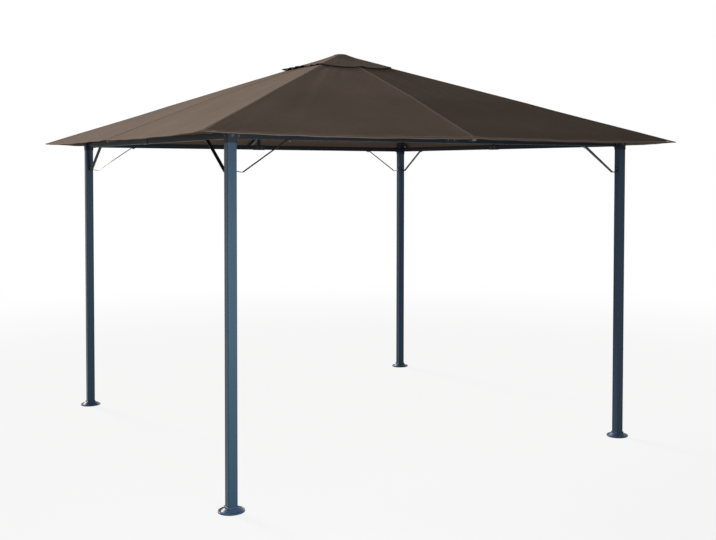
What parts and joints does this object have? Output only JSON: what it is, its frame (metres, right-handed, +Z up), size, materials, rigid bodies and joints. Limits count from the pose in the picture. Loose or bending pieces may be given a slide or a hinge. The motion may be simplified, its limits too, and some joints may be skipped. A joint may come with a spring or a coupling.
{
  "type": "metal gazebo",
  "caption": "Square open garden gazebo: a dark steel frame on corner posts with round base plates carries a taut taupe fabric hip roof with a raised vent cap.",
  "frame": {"origin": "on the floor, in the middle of the four posts", "axes": "+Z up; +X along the front side towards the front right post; +Y from the front side to the back side"},
  "size_m": [3.31, 3.31, 2.62],
  "materials": {
    "base_plate": "semi-gloss powder coat",
    "post_tube": "semi-gloss powder coat",
    "beam_tube": "satin powder coat",
    "rafter_tube": "satin powder coat",
    "brace_strap": "satin powder coat",
    "fitting": "satin powder coat",
    "canopy_fabric": "coated woven polyester"
  },
  "bodies": {
    "root": {"front_left_base_plate": "base_plate", "front_left_post": "post_tube", "front_left_corner_head": "fitting", "front_left_hip_rafter": "rafter_tube", "front_right_base_plate": "base_plate", "front_right_post": "post_tube", "front_right_corner_head": "fitting", "front_right_hip_rafter": "rafter_tube", "back_right_base_plate": "base_plate", "back_right_post": "post_tube", "back_right_corner_head": "fitting", "back_right_hip_rafter": "rafter_tube", "back_left_base_plate": "base_plate", "back_left_post": "post_tube", "back_left_corner_head": "fitting", "back_left_hip_rafter": "rafter_tube", "front_beam_left": "beam_tube", "front_beam_right": "beam_tube", "front_beam_coupler": "fitting", "front_brace_left": "brace_strap", "front_brace_right": "brace_strap", "front_middle_rafter": "rafter_tube", "canopy_front_panel": "canopy_fabric", "right_beam_left": "beam_tube", "right_beam_right": "beam_tube", "right_beam_coupler": "fitting", "right_brace_left": "brace_strap", "right_brace_right": "brace_strap", "right_middle_rafter": "rafter_tube", "canopy_right_panel": "canopy_fabric", "back_beam_left": "beam_tube", "back_beam_right": "beam_tube", "back_beam_coupler": "fitting", "back_brace_left": "brace_strap", "back_brace_right": "brace_strap", "back_middle_rafter": "rafter_tube", "canopy_back_panel": "canopy_fabric", "left_beam_left": "beam_tube", "left_beam_right": "beam_tube", "left_beam_coupler": "fitting", "left_brace_left": "brace_strap", "left_brace_right": "brace_strap", "left_middle_rafter": "rafter_tube", "canopy_left_panel": "canopy_fabric", "apex_hub": "fitting", "vent_cap": "canopy_fabric"}
  },
  "joints": []
}
